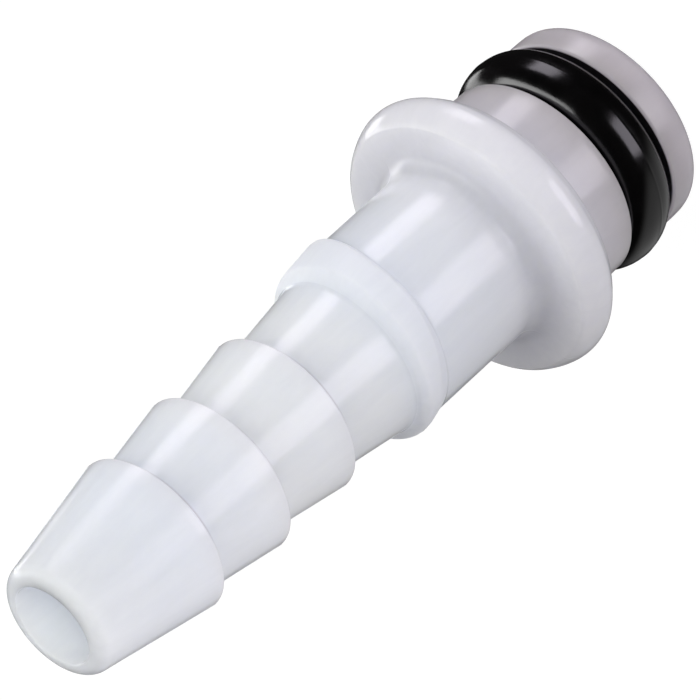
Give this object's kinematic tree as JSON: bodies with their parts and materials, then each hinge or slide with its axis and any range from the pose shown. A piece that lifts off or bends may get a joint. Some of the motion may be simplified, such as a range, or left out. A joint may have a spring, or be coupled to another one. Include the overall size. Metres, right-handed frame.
{
  "type": "thru hull fitting",
  "caption": "Plug-in thru hull fitting: barbed hose tail, hose-stop band, neck, round flange and a plug nose sealed by an O-ring, bored right through.",
  "frame": {"origin": "centre of the nose end face, the lowest point when the fitting stands on its nose", "axes": "+Z along the axis from the plug nose to the tip of the hose tail; +X towards the widest part of the slanted hose-stop band"},
  "size_m": [0.025, 0.025, 0.0678],
  "materials": {
    "moulded_plastic": "natural translucent bluish-white moulding, glossy, faint flow marks and a fine parting line",
    "seal_rubber": "black nitrile, lightly greased, smooth and glossy with a fine moulding flash line"
  },
  "bodies": {
    "root": {"fitting_body": "moulded_plastic", "o_ring": "seal_rubber"}
  },
  "joints": []
}
